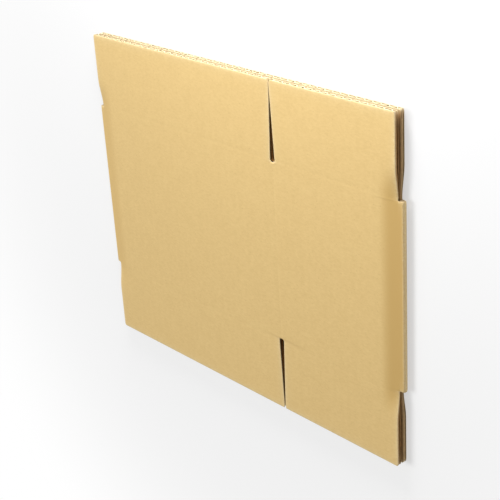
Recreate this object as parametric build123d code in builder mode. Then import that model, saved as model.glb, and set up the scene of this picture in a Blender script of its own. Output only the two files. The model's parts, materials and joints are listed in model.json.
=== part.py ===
from build123d import *
from math import atan, pi, sin, tan
import os

# A carton of single-wall corrugated board, folded flat and lying face up.
# It is one sheet: four panels in a row, a flap at both ends of each panel and a glued tab.
# X runs from fold to fold, Y along the flutes and Z up from the surface that it lies on.

# The carton when it is set up, in millimetres
carton_length = 230.0
carton_width = 130.0
carton_height = 160.0

# The board: two flat liners on a fluted medium
board_thickness = 4.0
liner_thickness = 0.4
medium_thickness = 0.4
flute_pitch = 7.9

# The slots that part one flap from the next
slot_width = 4.4
slot_mouth_width = 1.2
slot_run_in = 2.0
slot_corner_radius = 1.6

# The creases: a crushed band in the board and a groove pressed into its outer face
crease_band = 8.0
crease_groove_width = 3.0
crease_groove_depth = 0.5
score_groove_width = 3.2
score_groove_depth = 0.2

# The two folded edges, pinched thinner than the flat middle
fold_overhang = 2.6
fold_board = 2.6
fold_gap = 0.5
fold_run = 20.0
gap_run = 14.0

# The flaps' corners, which spring from the pinched fold back to the full thickness
flare_run = 24.0

# The glued joint: a pressed tab inside, behind a narrow gap between two panels
tab_width = 34.0
tab_thickness = 2.0
tab_clearance = 0.4
tab_root = 5.0
tab_setback = 3.0
tab_taper = 9.0
joint_gap = 2.0
joint_slope = 2.4

# One overrun serves every cut that has to pass a face
overrun = 1.0

# Sizes that follow from those above
flat_width = carton_length + carton_width
flap_depth = carton_width / 2
layer_gap = tab_thickness + tab_clearance
flat_thickness = 2 * board_thickness + layer_gap
middle = flat_thickness / 2
front_board = flat_thickness - board_thickness / 2
back_board = board_thickness / 2
score_y = carton_height / 2
flap_end_y = score_y + flap_depth
crease_x = flat_width / 2
front_crease_x = carton_length - crease_x
joint_x = -front_crease_x
flap_side_x = crease_x - slot_width / 2

# The flute: the space between a liner and the wave, wide at the liner and blunt at the crest
flute_height = board_thickness - 2 * liner_thickness
wave_height = flute_height - medium_thickness
flank_angle = atan(pi * wave_height / flute_pitch)
flank_width = medium_thickness / sin(flank_angle)
flute_half_width = flute_pitch / 4 - flank_width / 2
flute_half_base = flute_half_width + flute_height / 2 / tan(flank_angle)
crest_width = 2 * (flute_half_base - wave_height / tan(flank_angle))
crest_chamfer_share = 0.3
flute_count = int(flat_width / flute_pitch)

# The fold: its outer face eases down from the flat middle to a round nose
fold_thickness = 2 * fold_board + fold_gap
nose_radius = fold_thickness / 2
nose_x = crease_x + fold_overhang - nose_radius
fold_start_x = nose_x - fold_run
gap_end_x = crease_x + fold_overhang - fold_board - fold_gap / 2
flare_end_y = score_y + flare_run


def ease(start, end):
    """The control points of a smooth step: level at both ends, with evenly spaced X."""
    third = (end[0] - start[0]) / 3
    return start, (start[0] + third, start[1]), (end[0] - third, end[1]), end


def smooth_step(x):
    """How far the fold's outer face has eased down at x, as a share of its whole drop."""
    share = (x - fold_start_x) / fold_run
    return share**2 * (3 - 2 * share)


def groove_radius(width, depth):
    """The radius of the round bead that presses a groove of this width and depth."""
    return (width**2 / 4 + depth**2) / (2 * depth)


def lens_outline(half_start, half_end, end_x, tip_x):
    """Draws the right half of a slim shape about the middle: eased down, level, then a round end."""
    upper = Bezier(*ease((fold_start_x, middle + half_start), (end_x, middle + half_end)))
    lower = Bezier(*ease((fold_start_x, middle - half_start), (end_x, middle - half_end)))
    if tip_x > end_x:
        Line(upper @ 1, (tip_x, middle + half_end))
        Line(lower @ 1, (tip_x, middle - half_end))
    ThreePointArc(
        (tip_x, middle + half_end), (tip_x + half_end, middle), (tip_x, middle - half_end)
    )
    Line(upper @ 0, lower @ 0)


# One flute, seen along its length
with BuildSketch() as flute:
    with BuildLine():
        Polyline(
            (-flute_half_base, -flute_height / 2),
            (flute_half_base, -flute_height / 2),
            (crest_width / 2, wave_height - flute_height / 2),
            (-crest_width / 2, wave_height - flute_height / 2),
            close=True,
        )
    make_face()
    chamfer(flute.vertices().group_by(Axis.Y)[-1], crest_width * crest_chamfer_share)

# Flutes stand on the lower liner and hang from the upper one in turn.
# They run from end to end, but those at a crease or fold are crushed up to the flap or its flare.
whole_flutes = []
crease_flutes = []
fold_flutes = []
for board_middle, board_crease_x in ((front_board, front_crease_x), (back_board, joint_x)):
    for step in range(-flute_count, flute_count + 1):
        flute_x = step * flute_pitch / 2
        place = Location((flute_x, board_middle, 0), (0, 0, 180 * (step % 2)))
        near_fold = abs(flute_x) + flute_half_base > fold_start_x
        near_crease = abs(flute_x - board_crease_x) < flute_half_base + crease_band / 2
        if near_fold:
            fold_flutes.append(place)
        elif near_crease:
            crease_flutes.append(place)
        else:
            whole_flutes.append(place)

# The flap corners: pinched like the fold at the score, level with the flap at the end of the flare
with BuildPart() as flap_corners:
    for section_y, drop_share in ((score_y, smooth_step(flap_side_x)), (flare_end_y, 0)):
        outer_drop = (middle - nose_radius) * drop_share
        inner_drop = (layer_gap - fold_gap) / 2 * drop_share
        with BuildSketch(Plane.XZ.offset(-section_y)):
            with BuildLine():
                outer = Bezier(
                    *ease((fold_start_x, flat_thickness), (flap_side_x, flat_thickness - outer_drop))
                )
                inner = Bezier(
                    *ease(
                        (fold_start_x, flat_thickness - board_thickness),
                        (flap_side_x, flat_thickness - board_thickness - inner_drop),
                    )
                )
                Line(outer @ 0, inner @ 0)
                Line(outer @ 1, inner @ 1)
            make_face()
    loft(ruled=True)
    mirror(about=Plane.XY.offset(middle))
    mirror(about=Plane.XZ)
    mirror(about=Plane.YZ)

with BuildPart() as flattened_box:
    # Front and back board of the flaps, then the panels between them with their folded edges
    with BuildSketch(Plane.XZ):
        with Locations((0, front_board), (0, back_board)):
            Rectangle(2 * flap_side_x, board_thickness)
    extrude(amount=flap_end_y, both=True)
    with BuildSketch():
        with GridLocations(2 * crease_x, 0, 2, 1):
            Rectangle(2 * (crease_x - fold_start_x), 2 * flare_end_y)
    extrude(amount=flat_thickness, mode=Mode.SUBTRACT)
    add(flap_corners.part)
    with BuildSketch(Plane.XZ):
        with BuildLine():
            lens_outline(middle, nose_radius, nose_x, nose_x)
        make_face()
        with BuildLine():
            lens_outline(layer_gap / 2, fold_gap / 2, fold_start_x + gap_run, gap_end_x)
        make_face(mode=Mode.SUBTRACT)
        mirror(about=Plane.YZ)
    extrude(amount=score_y, both=True)

    # Slots between the flaps, at the front crease and at the joint behind it
    for slot_x, slot_plane in (
        (front_crease_x, Plane.XY.offset(middle)),
        (joint_x, Plane.XY.offset(middle).rotated((180, 0, 0))),
    ):
        with BuildSketch(slot_plane):
            with BuildLine():
                Polyline(
                    (slot_x - slot_width / 2, score_y - slot_run_in),
                    (slot_x + slot_width / 2, score_y - slot_run_in),
                    (slot_x + slot_mouth_width / 2, flap_end_y + overrun),
                    (slot_x - slot_mouth_width / 2, flap_end_y + overrun),
                    close=True,
                )
            slot = make_face()
            fillet(slot.vertices().group_by(Axis.Y)[0], slot_corner_radius)
            mirror(about=Plane.XZ)
        extrude(amount=middle + overrun, mode=Mode.SUBTRACT)

    # The joint: a cut edge on the left, a creased edge on the right and the tab behind both
    with BuildSketch(Plane.XZ):
        with BuildLine():
            Polyline(
                (joint_x - joint_gap / 2, 0),
                (joint_x - joint_gap / 2, board_thickness),
                (joint_x + joint_gap / 2, board_thickness),
                (joint_x + joint_gap / 2 + joint_slope, 0),
                close=True,
            )
        make_face()
    extrude(amount=score_y, both=True, mode=Mode.SUBTRACT)
    with BuildSketch(Plane.XY.offset(board_thickness)):
        with BuildLine():
            Polyline(
                (joint_x + tab_root, tab_setback - score_y),
                (joint_x + tab_root, score_y - tab_setback),
                (joint_x - tab_width, score_y - tab_setback - tab_taper),
                (joint_x - tab_width, tab_setback + tab_taper - score_y),
                close=True,
            )
        make_face()
    extrude(amount=tab_thickness)

    # Score grooves across the flaps on both faces, and the crease groove down the front
    score_radius = groove_radius(score_groove_width, score_groove_depth)
    with BuildSketch(Plane.YZ):
        with GridLocations(carton_height, 0, 2, 1):
            with Locations(
                (0, flat_thickness + score_radius - score_groove_depth),
                (0, score_groove_depth - score_radius),
            ):
                Circle(score_radius)
    extrude(amount=flap_side_x, both=True, mode=Mode.SUBTRACT)
    crease_radius = groove_radius(crease_groove_width, crease_groove_depth)
    with BuildSketch(Plane.XZ):
        with Locations((front_crease_x, flat_thickness + crease_radius - crease_groove_depth)):
            Circle(crease_radius)
    extrude(amount=score_y, both=True, mode=Mode.SUBTRACT)

    # The flutes, open at the flaps' free ends
    for places, start_y in ((crease_flutes, score_y), (fold_flutes, flare_end_y)):
        for side in (1, -1):
            with BuildSketch(Plane.XZ.offset(side * start_y)):
                with Locations(*places):
                    add(flute.sketch)
            extrude(amount=side * (flap_end_y - start_y), mode=Mode.SUBTRACT)
    with BuildSketch(Plane.XZ.offset(-flap_end_y)):
        with Locations(*whole_flutes):
            add(flute.sketch)
    extrude(amount=2 * flap_end_y, mode=Mode.SUBTRACT)

flattened_box.part.label = "flattened_box"

os.makedirs("parts", exist_ok=True)
export_step(flattened_box.part, "parts/flattened_box.step")
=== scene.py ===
# %% [markdown]
# # A flattened cardboard box
# A shipping carton leaves its maker as one sheet of corrugated board: slotted, creased, folded over along
# two edges and glued inside with a narrow tab. Lying flat it is two boards thick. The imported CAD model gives
# its place and size in metres. Here the sheet is made again from its three papers, two flat liners and the
# wave between them, because the cut edges, slots and folds of a real carton show all three.

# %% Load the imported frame
import json

import bpy
import numpy as np
from mathutils import Matrix, Vector

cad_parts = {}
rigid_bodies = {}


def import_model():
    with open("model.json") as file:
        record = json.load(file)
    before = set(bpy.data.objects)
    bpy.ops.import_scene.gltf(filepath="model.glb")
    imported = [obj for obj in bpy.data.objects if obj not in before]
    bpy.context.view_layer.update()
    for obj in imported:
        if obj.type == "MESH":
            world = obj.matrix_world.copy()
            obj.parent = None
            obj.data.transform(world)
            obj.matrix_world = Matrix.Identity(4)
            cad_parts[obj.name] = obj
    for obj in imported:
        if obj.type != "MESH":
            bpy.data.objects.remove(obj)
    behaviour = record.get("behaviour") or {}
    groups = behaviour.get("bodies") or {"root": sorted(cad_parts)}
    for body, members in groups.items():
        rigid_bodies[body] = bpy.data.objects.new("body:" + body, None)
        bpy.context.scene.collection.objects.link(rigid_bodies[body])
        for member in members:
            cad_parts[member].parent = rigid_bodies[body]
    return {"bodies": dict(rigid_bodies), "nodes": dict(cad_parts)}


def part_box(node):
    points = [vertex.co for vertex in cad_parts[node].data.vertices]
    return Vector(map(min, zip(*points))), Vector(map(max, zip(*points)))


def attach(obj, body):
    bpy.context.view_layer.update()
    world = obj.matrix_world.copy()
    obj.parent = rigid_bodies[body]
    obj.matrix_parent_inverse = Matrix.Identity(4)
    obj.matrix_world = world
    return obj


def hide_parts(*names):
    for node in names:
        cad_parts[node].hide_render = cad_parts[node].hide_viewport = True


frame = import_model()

from_frame = set(frame["nodes"].values()) | set(frame["bodies"].values())
for spare in [thing for thing in bpy.data.objects if thing not in from_frame]:
    bpy.data.objects.remove(spare)

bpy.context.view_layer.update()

# %% [markdown]
# ## Sizes
# The overall sizes are read from the CAD node, so that the dressed sheet always fits the frame. The others
# repeat the carton's own measures: a box of 230 by 130 by 160 mm in 4 mm board, with flaps of half its width.
# Each could be typed in where it is used, but a size that has one name changes everywhere at once.

# %% Sizes of the sheet and its slots
MM = 0.001
low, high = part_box("flattened_box")
half_thickness = (high.z - low.z) / 2
middle_z = (high.z + low.z) / 2
flap_end = high.y
flap_side = 177.8 * MM
flap_corner = 1.0 * MM  # how far a flap's corners are worn back
panel_end = 80 * MM

front_crease = 50 * MM
joint = -50 * MM
slot_end = panel_end - 2 * MM
slot_half = 2.7 * MM
slot_corner = 2.0 * MM
joint_corner = 0.0  # the slots at the joint are square
upper_mouth_half = 0.15 * MM
lower_mouth_half = 0.45 * MM
upper_closing = 0.92  # share of its length in which the upper slot closes
sheet_size = np.array([2 * high.x, 2 * flap_end, 2 * half_thickness])
print("sheet folded flat, in mm:", np.round(sheet_size / MM, 1))

# %% Sizes of the board and its folds
board = 4.0 * MM
liner = 0.4 * MM
medium = 0.32 * MM
flute_pitch = 7.9 * MM
half_gap = half_thickness - board

nose_radius = 2.2 * MM
nose_power = 0.6  # below one, so that a fold's nose is blunt
nose_half_gap = 0.2 * MM
nose_x = high.x - nose_radius
fold_run = 20 * MM  # length over which a fold pinches the board
fold_start = nose_x - fold_run
gap_run = 14 * MM  # length over which it closes the gap
flare_run = 24 * MM  # length over which a flap springs back
print(f"gap between the boards: {2 * half_gap / MM:.1f} mm, folds: {2 * nose_radius / MM:.1f} mm thick")

# %% Sizes of the glued joint
joint_gap = 2.0 * MM
joint_slope = 2.4 * MM
joint_fade = 6 * MM
tab_width = 34 * MM
tab_root = 5 * MM
tab_setback = 3 * MM
tab_taper = 9 * MM
tab_thickness = 2.0 * MM
print(f"glued tab: {tab_width / MM:.0f} mm wide, in {2 * half_gap / MM:.1f} mm of room")

# %% [markdown]
# ## The folded line
# Seen from a flap end the sheet is a flat loop. It could be drawn as a curve and extruded, but then the slots
# would need boolean cuts. Instead the loop is a list of stations, close together at folds and cut edges and
# wide apart on the flats, and the length of the box is a second list of places. Together they make a grid,
# in which a slot is just a block of cells that is left out.

# %% The five stretches of the loop, and how close the stations stand
SHORT_BACK, LEFT_FOLD, FRONT, RIGHT_FOLD, LONG_BACK = range(5)
DECIMALS = 7  # places in metres are rounded to this, so that equal ones meet
NEAR = 1e-7  # places nearer than this are the same
SLACK = 1e-6  # share of a step that rounding may add
rim_steps = np.array([0, 0.4, 1.0, 2.0, 3.6]) * MM  # from a cut edge
crease_steps = np.array([0, 0.7, 1.4, 2.1]) * MM  # from the front crease
score_steps = np.array([0, 0.7, 1.4, 2.2, 3.4, 5.0]) * MM  # from a score
corner_shares = np.array([0, 0.12, 0.4, 1.0])  # of a slot's rounded corner
fade_shares = np.array([0.5, 1.0])  # of the length in which the tab's step fades
ease_count = 9  # stations on a fold's slope
jog_count = 12  # stations on the step down to the tab


def fill(keys, step):
    """The key places in order, with even places between neighbours that are more than a step apart."""
    keys = np.unique(np.round(keys, DECIMALS))
    gaps = np.diff(keys)
    counts = np.ceil(gaps / step - SLACK).astype(int)
    stretch = np.repeat(np.arange(counts.size), counts)
    turn = np.arange(counts.sum()) - np.repeat(np.cumsum(counts) - counts, counts)
    return np.append(keys[stretch] + gaps[stretch] * turn / counts[stretch], keys[-1])


print("stations beside a cut edge, in mm:", np.round(fill(rim_steps, 1.0 * MM) / MM, 2))


# %% Stations along the folded line
def fold_path(step, bend_steps):
    """The stations of the sheet's loop, as arrays of x, angle and leaf, with the length run so far.

    The loop starts at the joint's cut edge, goes left along the back, round the left fold, right across the
    front, round the right fold and left along the back to the end of the tab. The angle is a quarter turn
    up on the front and down on the back, and sweeps evenly between them round a fold. The leaf counts those
    five stretches.
    """
    fold = np.concatenate([[nose_x, fold_start], flap_side - rim_steps, flap_side + rim_steps[1:4]])
    ease = np.linspace(fold_start, flap_side - rim_steps[-1], ease_count)
    slot = np.concatenate([slot_half + rim_steps, -slot_half - rim_steps, crease_steps, -crease_steps])
    cut_edge = np.concatenate([joint - joint_gap / 2 - rim_steps[:3], joint - slot_half - rim_steps])
    jog = joint + np.linspace(joint_gap / 2 + 2 * joint_slope, -joint_gap, jog_count)
    tab = np.concatenate([joint + slot_half + rim_steps, jog, [joint - tab_width]])

    front = fill(np.concatenate([fold, ease, -fold, -ease, front_crease + slot]), step)
    short_back = fill(np.concatenate([-fold, -ease, cut_edge]), step)
    long_back = fill(np.concatenate([fold, ease, tab]), step)
    quarter = np.pi / 2
    bend = np.linspace(-quarter, quarter, bend_steps + 1)[1:-1]
    at_nose = np.full(bend.size, nose_x)

    x = np.concatenate([short_back[::-1], -at_nose, front, at_nose, long_back[::-1]])
    angle = np.concatenate([
        np.full(short_back.size, -quarter), bend, np.full(front.size, quarter), -bend,
        np.full(long_back.size, -quarter)])
    sizes = [short_back.size, bend.size, front.size, bend.size, long_back.size]
    leaf = np.repeat([SHORT_BACK, LEFT_FOLD, FRONT, RIGHT_FOLD, LONG_BACK], sizes)
    length = np.append(0, np.cumsum(np.hypot(np.diff(x), nose_radius / 2 * np.diff(angle))))
    return {"x": x[:, None], "angle": angle[:, None], "leaf": leaf[:, None], "length": length[:, None]}


path = fold_path(step=6 * MM, bend_steps=10)
print(f"folded line: {path['x'].size} stations, {path['length'][-1, 0] / MM:.0f} mm long")


# %% Places along the length
def flap_places(panel_step, flap_step, score):
    """Places along y, the same both ways: close together at scores, slot ends and the flaps' cut ends."""
    panel = fill(np.concatenate([[0], panel_end - score, [slot_end]]), panel_step)
    flap = fill(np.concatenate([panel_end + score, flap_end - rim_steps, [panel_end + flare_run]]), flap_step)
    corner = slot_end + slot_corner * corner_shares
    fade = slot_end + joint_fade * fade_shares
    half = np.unique(np.round(np.concatenate([panel, corner, fade, flap]), DECIMALS))
    return np.concatenate([-half[:0:-1], half])[None, :]


along = flap_places(panel_step=10 * MM, flap_step=6 * MM, score=score_steps)
print(f"length of the box: {along.size} places, so {path['x'].size * along.size} points in the grid")

# %% [markdown]
# ## Slots and cut edges
# A knife cuts the slots between the flaps, the front ones with rounded inner ends. On a box that has been
# handled they narrow towards the mouth, where the flaps lean together, and their corners are worn soft. The
# slots could be cut out of the finished mesh, but moving the stations beside them keeps the grid whole and
# the edges smooth.


# %% A smooth step
def smooth(share):
    """A smooth step: 3 s squared minus 2 s cubed, with s held between 0 and 1."""
    share = np.clip(share, 0, 1)
    return share**2 * (3 - 2 * share)


print("smooth step at a quarter, a half and one:", smooth(np.array([0.25, 0.5, 1.0])))

# %% Width of the slots
slot_pull = 12 * MM  # how far beside a slot the sheet follows its narrowing
corner_pull = 8 * MM  # and how far beside a flap's side it follows the worn corner


def softened(y):
    """How far a flap's corner is worn back beside its cut end: falling off by e every flap corner."""
    return flap_corner * np.exp(-(flap_end - np.abs(y)) / flap_corner)


def slot_half_width(y, corner):
    """Half the slot's width: a rounded inner end, a taper to nearly closed, and softened mouth corners.

    The upper flaps touch a little before their ends, the lower ones only at them.
    """
    depth = np.abs(y) - slot_end
    closing = np.where(y > 0, upper_closing, 1.0) * (flap_end - slot_end)
    mouth = np.where(y > 0, upper_mouth_half, lower_mouth_half)
    taper = (slot_half - mouth) * np.clip(depth / closing, 0, 1)
    rounding = corner - np.sqrt(corner**2 - np.clip(corner - depth, 0, corner) ** 2)
    return slot_half - taper - rounding + softened(y)


def sheet_x(path, y):
    """Place across the width: the station's x, drawn towards a slot as it narrows, and in at the corners."""
    x = path["x"] + 0 * y
    for middle, corner, on_leaf in (
        (front_crease, slot_corner, path["leaf"] == FRONT),
        (joint, joint_corner, path["leaf"] != FRONT),
    ):
        off = path["x"] - middle
        reach = 1 - smooth((np.abs(off) - slot_half) / slot_pull)
        pull = np.clip(np.abs(off) / slot_half, 0, 1) * reach
        change = (slot_half_width(y, corner) - slot_half) * (np.abs(y) >= slot_end - NEAR)
        x = x + np.sign(off) * pull * change * on_leaf
    beside = smooth((np.abs(path["x"]) - flap_side + corner_pull) / corner_pull) * (np.abs(y) > panel_end)
    return x - np.sign(path["x"]) * beside * softened(y)


slot_places = np.array([slot_end + slot_corner, flap_end - 10 * MM])
slot_widths = 2 * slot_half_width(slot_places, slot_corner)
print("upper slot at its inner end and 10 mm from its mouth, in mm:", np.round(slot_widths / MM, 2))


# %% Distance to a cut edge
def cut_distance(path, x, y):
    """Distance to the nearest cut edge, the least of seven, and never below nought.

    They are the flap's end, its side, the front slot, the slot at the joint, the fold's end, the joint's cut
    edge and the end of the tab. An edge that a station hasn't got counts as far away.
    """
    leaf, far = path["leaf"], 1.0
    in_slot = np.abs(y) >= slot_end - NEAR
    edges = [
        flap_end - np.abs(y),
        np.where(in_slot, flap_side - softened(y) - np.abs(x), far),
        np.where(in_slot & (leaf == FRONT), np.abs(x - front_crease) - slot_half_width(y, slot_corner), far),
        np.where(in_slot & (leaf != FRONT), np.abs(x - joint) - slot_half_width(y, joint_corner), far),
        np.where(np.abs(path["x"]) > flap_side, slot_end - np.abs(y), far),
        np.where((leaf == SHORT_BACK) & ~in_slot, joint - joint_gap / 2 - x, far),
        np.where(leaf == LONG_BACK, x - joint + tab_width, far),
    ]
    return np.maximum(np.min(np.broadcast_arrays(*edges), axis=0), 0)


print(f"furthest from any cut: {cut_distance(path, sheet_x(path, along), along).max() / MM:.0f} mm")

# %% [markdown]
# ## The board's two faces
# At every station the board has an inner and an outer face, each at its own distance from the middle of the
# loop. The folds pinch the board, creases dent it, cut edges are squeezed by the knife and the flaps spring
# back to full thickness away from the fold. Each effect is one smooth term in a sum, which is easier to read
# and to change than sculpted vertices.


# %% Pinched folds
def falling(share):
    """A slope that starts level and stays nearly even: 2 s squared minus s cubed, s held from 0 to 1."""
    share = np.clip(share, 0, 1)
    return share**2 * (2 - share)


def flare(y):
    """One beside the panels, falling smoothly to nought along the flare of a flap."""
    return 1 - smooth((np.abs(y) - panel_end) / flare_run)


def pinch(x, y):
    """How far a fold has pinched the board: nought where it starts, one at its nose, less on a flare."""
    return falling((np.abs(x) - fold_start) / fold_run) * flare(y)


print(f"pinch at the flap's side, beside the panels: {pinch(flap_side, panel_end):.2f}")

# %% Creases and scores
score_depth, score_reach = 0.055 * MM, 1.6 * MM
crease_depth, crease_reach, crease_fade = 0.18 * MM, 1.2 * MM, 3 * MM


def dents(path, x, y):
    """Depth of the creases: a bell curve across each score, and one across the front crease.

    The crease fades out smoothly before it meets a slot.
    """
    on_flat = path["leaf"] % 2 == 0
    score = np.exp(-(((np.abs(y) - panel_end) / score_reach) ** 2)) * on_flat
    crease = np.exp(-(((x - front_crease) / crease_reach) ** 2)) * (path["leaf"] == FRONT)
    crease = crease * (1 - smooth((np.abs(y) - slot_end + crease_fade) / crease_fade))
    return score_depth * score + crease_depth * crease


print(f"deepest dent: {dents(path, path['x'], along).max() / MM:.2f} mm")

# %% A slight bow of the front
bow_height, bow_margin = 0.12 * MM, 30 * MM
long_wave, long_shift, long_wave_along = 310 * MM, 0.13, 420 * MM
short_wave, short_wave_along, short_share = 118 * MM, 265 * MM, 0.6


def bow(path, x, y, cut):
    """Two slow waves over the front face: a sine across times a cosine along, and a weaker slanting sine.

    They fade to level at folds and cut edges.
    """
    long_bow = np.sin(2 * np.pi * (x / long_wave + long_shift)) * np.cos(2 * np.pi * y / long_wave_along)
    short_bow = short_share * np.sin(2 * np.pi * (x / short_wave + y / short_wave_along))
    free = (path["leaf"] == FRONT) * (1 - pinch(x, y)) * smooth(cut / bow_margin)
    return bow_height * (long_bow + short_bow) * free


print(f"bow of the front: up to {np.abs(bow(path, path['x'], along, bow_margin)).max() / MM:.2f} mm")


# %% The step down to the tab
def tab_steps(path, x, y):
    """Shares of the step inwards past the joint, for the outer and the inner face, and the tab's half length.

    Both are smooth steps, the outer one as wide as the joint's slope and the inner one twice that. The tab
    tapers evenly from its root to its end.
    """
    past = joint + joint_gap / 2 + joint_slope - x
    at_joint = (path["leaf"] == LONG_BACK) * (1 - smooth((np.abs(y) - slot_end) / joint_fade))
    step_out = smooth(past / joint_slope) * at_joint
    step_in = smooth((past + joint_slope) / (2 * joint_slope)) * at_joint
    tapered = np.clip((joint + tab_root - x) / (tab_root + tab_width), 0, 1)
    return step_out, step_in, panel_end - tab_setback - tab_taper * tapered


tab_end_half = tab_steps(path, path["x"], along)[2].min()
print(f"tab: {2 * tab_end_half / MM:.0f} mm long at its end")

# %% Inner and outer face
squeeze_reach, outer_squeeze, inner_squeeze = 0.7 * MM, 0.25 * MM, 0.12 * MM


def board_faces(path, y):
    """Inner and outer face as distances from the loop's middle, with x, y and the distance to a cut edge.

    Outer = half the thickness, less the fold's pinch, the dents and the knife's squeeze, plus the bow.
    Inner = half the gap, closing towards a fold, plus the squeeze and the bow. Past the joint's crease both
    step inwards to the pressed tab, which is shorter than the panels.
    """
    x = sheet_x(path, y)
    cut = cut_distance(path, x, y)
    squeeze, waves = np.exp(-cut / squeeze_reach), bow(path, x, y, cut)
    closed = smooth((np.abs(x) - fold_start) / gap_run) * flare(y)
    outer = half_thickness - (half_thickness - nose_radius) * pinch(x, y)
    outer = outer - dents(path, x, y) - outer_squeeze * squeeze + waves
    inner = half_gap - (half_gap - nose_half_gap) * closed + inner_squeeze * squeeze + waves

    step_out, step_in, tab_half = tab_steps(path, x, y)
    outer = outer + (half_gap - outer) * step_out
    inner = inner + (half_gap - tab_thickness - inner) * step_in
    return x, y * (1 - step_out * (1 - tab_half / slot_end)), inner, outer, cut


inner, outer = board_faces(path, along)[2:4]
print(f"board from {(outer - inner).min() / MM:.2f} to {(outer - inner).max() / MM:.2f} mm thick")

# %% [markdown]
# ## Paper plies
# Corrugated board is a wave of paper glued between two flat liners, and its flutes show open at the flaps'
# ends and slots. A solid with holes could stand for it, but real plies give every edge its right look. So
# each paper is a closed plate: a grid of points above, a grid below and a wall along every edge where kept
# cells meet left-out ones.


# %% Which cells of the grid are paper
def kept_cells(path, y):
    """True for each cell that is board: not a slot, not the corners beside the flaps, not beyond the tab."""
    x = path["x"]
    cell_x, cell_y = (x[1:] + x[:-1]) / 2, np.abs(y[:, 1:] + y[:, :-1]) / 2
    leaf, in_flap = path["leaf"][1:], cell_y > slot_end
    corner = np.abs(cell_x) > flap_side
    front_slot = (leaf == FRONT) & (np.abs(cell_x - front_crease) < slot_half)
    short_slot = (leaf <= LEFT_FOLD) & (cell_x > joint - slot_half)
    long_slot = (leaf == LONG_BACK) & (cell_x < joint + slot_half)
    return ~(in_flap & (corner | front_slot | short_slot | long_slot))


print(f"cells that are paper: {kept_cells(path, along).mean():.0%}")

# %% Points and faces of a closed plate
OUTER, INNER, CUT_ALONG, CUT_ACROSS = range(4)


def sheet_points(path, x, y, radius):
    """Points of the loop: the radius's cosine added to x outwards, y, and its sine added to the middle.

    Both are taken to a power below one, which makes the round nose of a fold blunter.
    """
    out, up = np.cos(path["angle"]), np.sin(path["angle"])
    across = x + np.sign(path["x"]) * radius * np.abs(out) ** nose_power
    height = middle_z + radius * np.sign(up) * np.abs(up) ** nose_power
    return np.stack(np.broadcast_arrays(across, y, height), axis=-1)


def closed_plate(upper, under, keep):
    """Points and quads of a closed plate, the kind of each quad, and the grid point behind each point.

    Kept cells make the two faces. Where a kept cell's neighbour isn't kept, a wall joins the faces: along
    the flutes if the neighbour lies across the loop, and across them if it lies along the box.
    """
    count = upper.shape[0] * upper.shape[1]
    index = np.arange(count).reshape(upper.shape[:2])
    cells = np.stack([index[:-1, :-1], index[1:, :-1], index[1:, 1:], index[:-1, 1:]], axis=-1)[keep]
    room = np.pad(keep.astype(int), 1)
    across, lengthwise = np.diff(room[:, 1:-1], axis=0), np.diff(room[1:-1], axis=1)
    side = np.stack([index[:, :-1], index[:, 1:], index[:, 1:] + count, index[:, :-1] + count], axis=-1)
    end = np.stack([index[:-1], index[1:], index[1:] + count, index[:-1] + count], axis=-1)
    walls = [
        side[across == 1], side[across == -1][:, ::-1],
        end[lengthwise == -1], end[lengthwise == 1][:, ::-1],
    ]
    quads = np.concatenate([cells, cells[:, ::-1] + count, *walls])
    wall_kinds = [CUT_ALONG, CUT_ALONG, CUT_ACROSS, CUT_ACROSS]
    kinds = np.repeat([OUTER, INNER, *wall_kinds], [len(cells), len(cells), *map(len, walls)])
    used, quads = np.unique(quads, return_inverse=True)
    points = np.concatenate([upper.reshape(-1, 3), under.reshape(-1, 3)])[used]
    return points, quads.reshape(-1, 4), kinds, used % count


nose_place = sheet_points(path, path["x"], along, nose_radius)[..., 0].max()
print(f"the fold's nose reaches x = {nose_place / MM:.1f} mm")

# %% [markdown]
# ### Wear and painted light
# Handling marks cardboard: cut edges are rubbed pale, and the flaps' ends are dusty with torn fibre. The same
# shares also carry painted light: a painted highlight on the nose of each fold, paler flute hollows and flap
# sides where they lie in shade, and painted shade in the band beside a fold. It could be painted on by hand,
# but it always follows the edges, and the distance to them is known here. So each point carries three shares,
# which the finishes read.

# %% Wear and painted light along the edges
rub_reach, dust_and_light_reach, fold_shade_run = 1.6 * MM, 2.5 * MM, 12 * MM
# The dust on the flaps' sides is partly torn fibre and partly painted light on their shaded cut edges.
front_side_dust_and_light, back_side_dust_and_light = 0.1, 0.3
# Painted shade beside the folds: full on the right, where the fold's slope faces away from the light, less on
# the left.
right_fold_shade, left_fold_shade = 1.0, 0.45


def wear_and_painted_light(path, x, y, cut):
    """How worn the paper is, and where light and shade are painted on it, from nought to one, in three ways.

    Rub falls off from a cut edge, where it is wear, and peaks on the nose of a fold, where it is a painted
    highlight. Dust falls off from a flap's end, and less strongly from its side: partly torn fibre, partly
    painted light that lifts the shaded flute hollows and flap sides. Fold shade is painted shade in the band
    beside a fold, where its slope turns away from the light.
    """
    # At a cut edge this is rubbed wear; on a fold's nose it is a painted highlight.
    rub = np.maximum(np.exp(-cut / rub_reach), np.cos(path["angle"]) ** 0.5)
    # Paler flaps' ends: partly torn fibre, partly painted light in the flute hollows, which lie in shade.
    end_dust_and_light = np.exp(-(flap_end - np.abs(y)) / dust_and_light_reach)
    side_dust_and_light = np.exp(-np.maximum(flap_side - np.abs(x), 0) / dust_and_light_reach)
    side_dust_and_light = side_dust_and_light * np.where(path["leaf"] == FRONT, front_side_dust_and_light, back_side_dust_and_light)
    # Painted shade in the band beside each fold.
    press = smooth((np.abs(x) - fold_start) / fold_shade_run) * flare(y)
    press = press * np.where(x > 0, right_fold_shade, left_fold_shade)
    return {"rub": rub, "dust": np.maximum(end_dust_and_light, side_dust_and_light), "press": press}


print("kinds of wear:", ", ".join(wear_and_painted_light(path, path["x"], along, 0 * along)))

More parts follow.
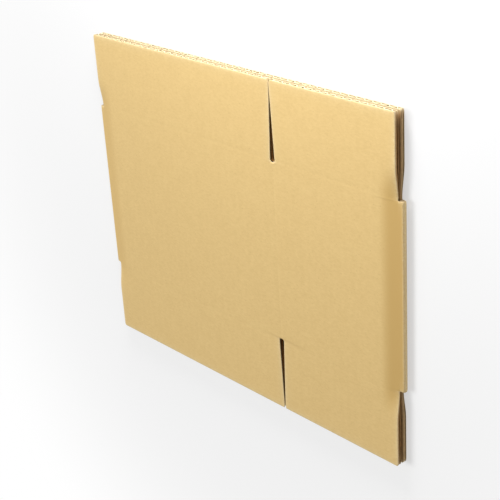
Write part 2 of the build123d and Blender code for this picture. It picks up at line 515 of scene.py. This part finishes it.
# %% [markdown]
# ### Liners and medium
# The liners are flat sheets and the medium is a wave that touches them in turn. The wave could be a texture
# on a solid edge, but as paper it casts its own shade in the open flutes. The outer liner is made from the
# fine grid, and the two papers behind it from coarser ones, because nobody sees their dents.

# %% The flat liners
KRAFT, FLUTING, CUT = range(3)
outer_finishes = [KRAFT, FLUTING, CUT, CUT]
# The medium's and inner liner's walls along the flutes take the darker fluting finish instead of pale cut
# fibre: painted shade on the flaps' sides and slot walls.
inside_finishes = [FLUTING, FLUTING, FLUTING, CUT]


def paper_ply(path, y, faces, place, cut, finishes):
    """A paper between two faces: its points, quads, their kinds and finishes, and the wear and painted light
    at each point.
    """
    grids = [sheet_points(path, *place, face) for face in faces]
    points, quads, kinds, source = closed_plate(*grids, kept_cells(path, y))
    wear_and_light = {
        name: np.broadcast_to(share, cut.shape).ravel()[source]
        for name, share in wear_and_painted_light(path, place[0], y, cut).items()
    }
    finishes = np.array(finishes)[kinds]
    return {"points": points, "quads": quads, "kinds": kinds, "finishes": finishes, "wear_and_light": wear_and_light}


def flat_liner(path, y, outside):
    """A liner: the grid at the board's outer face and a liner's thickness below it, or the same inside."""
    x, y_there, inner, outer, cut = board_faces(path, y)
    paper = liner / board * (outer - inner)
    faces = (outer, outer - paper) if outside else (inner + paper, inner)
    return paper_ply(path, y, faces, (x, y_there), cut, outer_finishes if outside else inside_finishes)


hidden_along = flap_places(panel_step=24 * MM, flap_step=16 * MM, score=score_steps[:1])
outer_liner = flat_liner(path, along, outside=True)
inner_liner = flat_liner(fold_path(step=12 * MM, bend_steps=8), hidden_along, outside=False)
for name, ply in (("outer liner", outer_liner), ("inner liner", inner_liner)):
    print(f"{name}: {len(ply['points'])} points, {2 * len(ply['quads'])} triangles")

# %% The fluted medium
flute_steps = 8
crest_depth = 0.4  # of the medium's thickness: less than a half, so that the crests bite into the liners
fuzz_growth, fuzz_reach = 2.0, 0.8 * MM


def fluted_medium(path, y):
    """The medium: a cosine of one flute pitch along the loop, between the liners, of even paper thickness.

    Its thickness is measured square to the wave, so its height grows with the slope. Beside a cut it is
    thicker, with torn fibre, and it always stops at the middle of either liner.
    """
    x, y_there, inner, outer, cut = board_faces(path, y)
    thick = outer - inner
    turn = 2 * np.pi * path["length"] / flute_pitch
    swing = thick / 2 - liner / board * thick - medium * crest_depth
    slope = swing * 2 * np.pi / flute_pitch * np.sin(turn)
    centre = (inner + outer) / 2 + swing * np.cos(turn)
    fuzz = 1 + fuzz_growth * np.exp(-cut / fuzz_reach)
    paper = medium / 2 * np.sqrt(1 + slope**2) * (thick / board) * fuzz
    glue = liner / board * thick / 2
    faces = [np.clip(centre + side * paper, inner + glue, outer - glue) for side in (1, -1)]
    return paper_ply(path, y, faces, (x, y_there), cut, inside_finishes)


fluted = fluted_medium(fold_path(step=flute_pitch / flute_steps, bend_steps=8), hidden_along)
print(f"fluted medium: {len(fluted['points'])} points, {2 * len(fluted['quads'])} triangles")

# %% [markdown]
# ## One sheet
# On the real box glue turns the three papers into one board. They could stay three objects, but nothing ever
# moves between them, so they become one mesh, with a finish for each kind of paper. It replaces the CAD node
# and rides on the one body there is.

# %% Glue the papers into one piece
plies = [outer_liner, fluted, inner_liner]
starts = np.cumsum([0] + [len(ply["points"]) for ply in plies[:-1]])
points = np.concatenate([ply["points"] for ply in plies])
quads = np.concatenate([ply["quads"] + start for ply, start in zip(plies, starts)])
finishes = np.concatenate([ply["finishes"] for ply in plies])
smooth_faces = np.concatenate([ply["kinds"] for ply in plies]) < CUT_ALONG

sheet_mesh = bpy.data.meshes.new("folded_sheet")
sheet_mesh.vertices.add(len(points))
sheet_mesh.vertices.foreach_set("co", points.ravel())
sheet_mesh.loops.add(quads.size)
sheet_mesh.loops.foreach_set("vertex_index", quads.ravel())
sheet_mesh.polygons.add(len(quads))
sheet_mesh.polygons.foreach_set("loop_start", np.arange(0, quads.size, 4))
sheet_mesh.polygons.foreach_set("material_index", finishes)
sheet_mesh.polygons.foreach_set("use_smooth", smooth_faces)
sheet_mesh.update(calc_edges=True)
for name in ("rub", "dust", "press"):
    share = np.concatenate([ply["wear_and_light"][name] for ply in plies])
    sheet_mesh.attributes.new(name, "FLOAT", "POINT").data.foreach_set("value", share)
print(f"folded sheet: {2 * len(quads)} triangles, mesh repaired: {sheet_mesh.validate()}")

# %% Put it in the CAD node's place
folded_sheet = bpy.data.objects.new("folded_sheet", sheet_mesh)
bpy.context.collection.objects.link(folded_sheet)
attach(folded_sheet, "root")
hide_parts("flattened_box")
print("pieces of the object:", folded_sheet.name)

# %% [markdown]
# ## Finishes
# Paper is matt, and never one flat colour: its fibres, clouds and specks come from how it was made. A picture
# of paper could be wrapped round the sheet, but it would stretch at folds and blur close up. Node patterns at
# real sizes hold from any distance, and the shares that each point carries tell them where edges are rubbed,
# where a fold gets a painted highlight, where shaded hollows and sides get painted light, and where painted
# shade lies beside a fold.

# %% Colour and node helpers
MIX_A, MIX_B, MIXED = 6, 7, 2  # the colour sockets of a Mix node


def linear(code):
    """Turns an sRGB hex colour into linear red, green, blue and alpha."""
    srgb = np.array([int(code[i:i + 2], 16) for i in (1, 3, 5)]) / 255
    return (*np.where(srgb <= 0.04045, srgb / 12.92, ((srgb + 0.055) / 1.055) ** 2.4), 1.0)


def add_node(tree, kind, inputs=None, **settings):
    """Adds a node, sets its properties, and gives each named socket its value or its link."""
    made = tree.nodes.new(kind)
    for name, value in settings.items():
        setattr(made, name, value)
    for name, value in (inputs or {}).items():
        if isinstance(value, bpy.types.NodeSocket):
            tree.links.new(value, made.inputs[name])
        else:
            made.inputs[name].default_value = value
    return made


def new_finish(name):
    """A new material, with its node tree and its shader."""
    made = bpy.data.materials.new(name)
    made.use_nodes = True
    return made, made.node_tree, made.node_tree.nodes["Principled BSDF"]


print("tan #E6C788 in linear light:", np.round(linear("#E6C788")[:3], 3))

# %% [markdown]
# ### Kraft liner
# The outer paper is kraft: long brown fibres laid mostly across the box on a paper machine and pressed smooth
# on rollers. Its colour is uneven in soft clouds, with fine streaks and a few dark specks, and the flutes
# beneath print through as faint washboard ridges, whose stripes of shade are painted into the colour. One
# noise could stand for all of it, but each has a size of its own: noise stretched along the fibre gives the
# streaks, round noise the clouds and specks, and a wave of the flutes' pitch the painted stripes.

# %% Kraft liner, made on a paper machine and pressed smooth: its patterns
# It gives the eye a warm, matt, slightly cloudy tan with fine streaks along the fibre.
fibre_length, fibre_width, cloud_size, speck_size = 3.0 * MM, 1.4 * MM, 14 * MM, 1.3 * MM
waves_per_scale = 20 / (2 * np.pi)  # a Wave texture's bands in one unit, at a scale of one

kraft, tree, shader = new_finish("kraft_liner_machine_pressed")
spot = add_node(tree, "ShaderNodeTexCoord").outputs["Object"]
fibre_place = add_node(tree, "ShaderNodeMapping", {
    "Vector": spot, "Scale": (1 / fibre_length, 1 / fibre_width, 1 / fibre_width)})
fibres = add_node(tree, "ShaderNodeTexNoise", {
    "Vector": fibre_place.outputs["Vector"], "Scale": 1.0, "Detail": 5.0, "Roughness": 0.6})
clouds = add_node(tree, "ShaderNodeTexNoise", {
    "Vector": spot, "Scale": 1 / cloud_size, "Detail": 4.0, "Roughness": 0.55})
specks = add_node(tree, "ShaderNodeTexNoise", {"Vector": spot, "Scale": 1 / speck_size, "Detail": 1.0})
flutes = add_node(tree, "ShaderNodeTexWave", {
    "Vector": spot, "Scale": 1 / (waves_per_scale * flute_pitch), "Distortion": 0.6, "Detail": 1.0},
    bands_direction="X", wave_profile="SIN")
print("kraft patterns:", len(tree.nodes), "nodes")

# %% Kraft liner: its colour
tone_base, fibre_share, cloud_share, flute_shade_share = 0.275, 0.65, 0.25, 0.02
streak = add_node(tree, "ShaderNodeMath", {
    0: fibres.outputs["Fac"], 1: fibre_share, 2: tone_base}, operation="MULTIPLY_ADD")
cloudy = add_node(tree, "ShaderNodeMath", {
    0: clouds.outputs["Fac"], 1: cloud_share, 2: streak.outputs["Value"]}, operation="MULTIPLY_ADD")
# Faint stripes at the flutes' pitch: painted shade of their washboard ridges, which the bump also raises.
flute_shaded = add_node(tree, "ShaderNodeMath", {
    0: flutes.outputs["Fac"], 1: flute_shade_share, 2: cloudy.outputs["Value"]}, operation="MULTIPLY_ADD")
tone = add_node(tree, "ShaderNodeMapRange", {
    "Value": flute_shaded.outputs["Value"], "From Min": 0.5, "From Max": 0.96})
paper = add_node(tree, "ShaderNodeMix", {
    "Factor": tone.outputs["Result"], MIX_A: linear("#D8B778"), MIX_B: linear("#E6C788")}, data_type="RGBA")
speckle = add_node(tree, "ShaderNodeMapRange", {
    "Value": specks.outputs["Fac"], "From Min": 0.66, "From Max": 0.80, "To Max": 0.35})
specked = add_node(tree, "ShaderNodeMix", {
    "Factor": speckle.outputs["Result"], MIX_A: paper.outputs[MIXED], MIX_B: linear("#A98550")},
    data_type="RGBA")
# Painted shade: the band beside each fold is mixed darker, where its slope turns away from the light.
fold_shade_share = add_node(tree, "ShaderNodeAttribute", attribute_name="press")
with_fold_shade = add_node(tree, "ShaderNodeMix", {
    "Factor": fold_shade_share.outputs["Fac"], MIX_A: specked.outputs[MIXED], MIX_B: linear("#D0AC69")},
    data_type="RGBA")
# Paler where rubbed: wear at the cut edges, and a painted highlight along each fold's nose.
rub_and_highlight_share = add_node(tree, "ShaderNodeAttribute", attribute_name="rub")
wear_and_light = add_node(tree, "ShaderNodeMath", {
    0: rub_and_highlight_share.outputs["Fac"], 1: fibres.outputs["Fac"]}, operation="MULTIPLY")
finish = add_node(tree, "ShaderNodeMix", {
    "Factor": wear_and_light.outputs["Value"], MIX_A: with_fold_shade.outputs[MIXED], MIX_B: linear("#F0DDB0")},
    data_type="RGBA")
tree.links.new(finish.outputs[MIXED], shader.inputs["Base Color"])
print("kraft with its colour:", len(tree.nodes), "nodes")

# %% Kraft liner: its gloss and relief
flute_relief = 0.2
gloss = add_node(tree, "ShaderNodeMapRange", {
    "Value": clouds.outputs["Fac"], "To Min": 0.62, "To Max": 0.78})
relief = add_node(tree, "ShaderNodeMath", {
    0: flutes.outputs["Fac"], 1: flute_relief, 2: fibres.outputs["Fac"]}, operation="MULTIPLY_ADD")
dimple = add_node(tree, "ShaderNodeBump", {
    "Height": relief.outputs["Value"], "Strength": 0.35, "Distance": 0.06 * MM})
tree.links.new(gloss.outputs["Result"], shader.inputs["Roughness"])
tree.links.new(dimple.outputs["Normal"], shader.inputs["Normal"])
shader.inputs["Specular IOR Level"].default_value = 0.3
print("kraft liner finished:", len(tree.nodes), "nodes")

# %% [markdown]
# ### Fluting paper
# The wave and the inside are recycled paper, left as it came off the wire: rough, with coarse flecks of pulp,
# and a darker brown than the face. Towards the flaps' cut ends and sides it turns pale, partly from torn
# fibre and partly as painted light in the flute hollows and on the flaps' sides, which lie in shade. It could
# be the kraft again, only darker, but coarser flecks are what tells the eye that it is another paper. One
# noise gives both the flecks and the relief, and the paler dust and painted light follow the shares at each
# point.

# %% Fluting paper, recycled fibre left as it came off the wire
# It gives the eye a dull, warm brown with coarse flecks.
pulp_size = 3 * MM
fluting, tree, shader = new_finish("fluting_paper_recycled")
spot = add_node(tree, "ShaderNodeTexCoord").outputs["Object"]
pulp = add_node(tree, "ShaderNodeTexNoise", {
    "Vector": spot, "Scale": 1 / pulp_size, "Detail": 5.0, "Roughness": 0.65})
tone = add_node(tree, "ShaderNodeMapRange", {
    "Value": pulp.outputs["Fac"], "From Min": 0.3, "From Max": 0.7})
paper = add_node(tree, "ShaderNodeMix", {
    "Factor": tone.outputs["Result"], MIX_A: linear("#94693A"), MIX_B: linear("#B68A50")}, data_type="RGBA")
# Paler towards the flaps' ends and sides: partly torn fibre dust, partly painted light in the shaded flute
# hollows and on the flaps' shaded sides.
dust_and_light_share = add_node(tree, "ShaderNodeAttribute", attribute_name="dust")
finish = add_node(tree, "ShaderNodeMix", {
    "Factor": dust_and_light_share.outputs["Fac"], MIX_A: paper.outputs[MIXED], MIX_B: linear("#EBD9B0")}, data_type="RGBA")
dimple = add_node(tree, "ShaderNodeBump", {
    "Height": pulp.outputs["Fac"], "Strength": 0.4, "Distance": 0.1 * MM})
tree.links.new(finish.outputs[MIXED], shader.inputs["Base Color"])
tree.links.new(dimple.outputs["Normal"], shader.inputs["Normal"])
shader.inputs["Roughness"].default_value = 0.85
shader.inputs["Specular IOR Level"].default_value = 0.2
print("fluting paper:", len(tree.nodes), "nodes")

# %% [markdown]
# ### Cut fibre
# Where the knife has gone through, the papers end in pale torn fibre. It could be a light line drawn on the
# face, but the plates have walls of their own there, so the walls get this finish and are pale from any side,
# all but the medium's and inner liner's walls along the flutes, which take the darker fluting finish as
# painted shade.

# %% Cut fibre, where the knife has torn through the papers
# It gives the eye a pale, fuzzy line on every cut edge.
fuzz_size = 1.0 * MM
torn, tree, shader = new_finish("cut_board_fibre")
spot = add_node(tree, "ShaderNodeTexCoord").outputs["Object"]
fuzz = add_node(tree, "ShaderNodeTexNoise", {
    "Vector": spot, "Scale": 1 / fuzz_size, "Detail": 4.0, "Roughness": 0.7})
tone = add_node(tree, "ShaderNodeMapRange", {
    "Value": fuzz.outputs["Fac"], "From Min": 0.3, "From Max": 0.7})
paper = add_node(tree, "ShaderNodeMix", {
    "Factor": tone.outputs["Result"], MIX_A: linear("#DEC594"), MIX_B: linear("#F3E4C2")}, data_type="RGBA")
dimple = add_node(tree, "ShaderNodeBump", {
    "Height": fuzz.outputs["Fac"], "Strength": 0.5, "Distance": 0.1 * MM})
tree.links.new(paper.outputs[MIXED], shader.inputs["Base Color"])
tree.links.new(dimple.outputs["Normal"], shader.inputs["Normal"])
shader.inputs["Roughness"].default_value = 0.9
shader.inputs["Specular IOR Level"].default_value = 0.2
print("cut fibre:", len(tree.nodes), "nodes")

# %% Give the sheet its finishes
for material in (kraft, fluting, torn):
    sheet_mesh.materials.append(material)
print("finishes:", ", ".join(material.name for material in sheet_mesh.materials))

# %% [markdown]
# ## Floor
# The box lies on a pale painted board. A plain plane could be lit until it looks white, but so much light
# would bleach the box too, and a dimmer plane shows its far edge as a horizon. So the paint fades to plain
# white away from the box, for the rays that show a background. Near the box it is still paint, and keeps
# the shadow.


# %% The floor's plane, and the rays that show a background
def shown_rays(tree):
    """One for a ray that shows the background: seen by the camera, in a reflection or through glass."""
    rays = add_node(tree, "ShaderNodeLightPath").outputs
    seen = add_node(tree, "ShaderNodeMath", {
        0: rays["Is Camera Ray"], 1: rays["Is Glossy Ray"]}, operation="MAXIMUM").outputs["Value"]
    return add_node(tree, "ShaderNodeMath", {
        0: seen, 1: rays["Is Transmission Ray"]}, operation="MAXIMUM").outputs["Value"]


floor_half = 12.0
floor_z = low.z - 0.1 * MM
floor_mesh = bpy.data.meshes.new("studio_floor")
floor_mesh.from_pydata(
    [(-floor_half, -floor_half, floor_z), (floor_half, -floor_half, floor_z),
     (floor_half, floor_half, floor_z), (-floor_half, floor_half, floor_z)], [], [(0, 1, 2, 3)])
floor = bpy.data.objects.new("studio_floor", floor_mesh)
bpy.context.collection.objects.link(floor)
print(f"floor: {2 * floor_half:.0f} m wide")

# %% Pale paint that fades to white
# It gives the eye an even, matt off-white, and pure white further out.
fade_start, fade_end, white_near = 0.2, 0.6, 0.55
pale, tree, shader = new_finish("pale_painted_board")
shader.inputs["Base Color"].default_value = linear("#F2F2F2")
shader.inputs["Roughness"].default_value = 0.9
spot = add_node(tree, "ShaderNodeTexCoord").outputs["Object"]
reach = add_node(tree, "ShaderNodeVectorMath", {0: spot}, operation="LENGTH")
whiteness = add_node(tree, "ShaderNodeMapRange", {
    "Value": reach.outputs["Value"], "From Min": fade_start, "From Max": fade_end,
    "To Min": white_near, "To Max": 1.0}, interpolation_type="SMOOTHSTEP")
share = add_node(tree, "ShaderNodeMath", {
    0: shown_rays(tree), 1: whiteness.outputs["Result"]}, operation="MULTIPLY")
white = add_node(tree, "ShaderNodeEmission", {"Color": linear("#FFFFFF"), "Strength": 1.0})
both = add_node(tree, "ShaderNodeMixShader", {
    0: share.outputs["Value"], 1: shader.outputs["BSDF"], 2: white.outputs["Emission"]})
tree.links.new(both.outputs["Shader"], tree.nodes["Material Output"].inputs["Surface"])
floor_mesh.materials.append(pale)
print(f"floor paint: white from {fade_end} m outwards, {len(tree.nodes)} nodes")

# %% [markdown]
# ## Light
# A small key lamp stands low beyond the upper flaps, so that their cut ends are the brightest part and the
# face darkens gently away from them. A broad fill comes from high on the left, and a weak low one from the
# right, so that the flaps' sides are brown and not black. Area lamps would do as well, but round ones light
# every way and need no aiming. An even white surround softens what is left.

# %% Lamps
for name, place, radius, level in (
    ("upper_key", Vector((0.07, 0.55, 0.16)), 0.13, 0.90),
    ("left_fill", Vector((-3.0, 0.6, 5.0)), 1.6, 0.62),
    ("right_fill", Vector((1.6, -0.15, 0.12)), 0.3, 0.13),
):
    lamp_data = bpy.data.lights.new(name, "POINT")
    lamp_data.shadow_soft_size = radius
    # At this power a white sheet that faces the lamp from the origin is as bright as the level says.
    lamp_data.energy = level * 4 * np.pi**2 * place.length_squared
    lamp = bpy.data.objects.new(name, lamp_data)
    lamp.location = place
    lamp.visible_camera = False
    bpy.context.collection.objects.link(lamp)
    print(f"{name}: {lamp_data.energy:.1f} W at {place.length:.2f} m")

# %% Surround
surround_level = 0.22
world = bpy.data.worlds.new("white_surround")
world.use_nodes = True
tree = world.node_tree
lighting = tree.nodes["Background"]
lighting.inputs["Color"].default_value = linear("#FFFFFF")
lighting.inputs["Strength"].default_value = surround_level
white = add_node(tree, "ShaderNodeBackground", {"Color": linear("#FFFFFF"), "Strength": 1.0})
both = add_node(tree, "ShaderNodeMixShader", {
    0: shown_rays(tree), 1: lighting.outputs["Background"], 2: white.outputs["Background"]})
tree.links.new(both.outputs["Shader"], tree.nodes["World Output"].inputs["Surface"])
bpy.context.scene.world = world
bpy.context.scene.view_settings.view_transform = "Standard"
print(f"surround: {world.name}, lighting at {surround_level}")

# %% [markdown]
# ## Camera
# In the photograph the box stands on its flap ends, so its height runs up the picture. This one lies on its
# back, and the camera takes the same place round it: from the right and from beyond the upper flaps, with
# the box's own length upright in the picture. Its place could be found by eye, but these numbers come from
# fitting the box's corners, slots and folds to the picture.

# %% Camera at the photograph's viewing angle
eye = Vector((0.7206, 0.4103, 0.6130))
aim = Vector((0.0109, -0.0103, half_thickness))
picture_up = Vector((0.0857, 1, 0))
forward = (aim - eye).normalized()
right = forward.cross(picture_up).normalized()
up = right.cross(forward)
camera_data = bpy.data.cameras.new("photo_view")
camera_data.lens = 88.6
camera = bpy.data.objects.new("photo_view", camera_data)
camera.matrix_world = Matrix.Translation(eye) @ Matrix((right, up, -forward)).transposed().to_4x4()
bpy.context.collection.objects.link(camera)
bpy.context.scene.camera = camera
print(f"camera: {(eye - aim).length:.3f} m away, {camera_data.lens:.1f} mm lens")
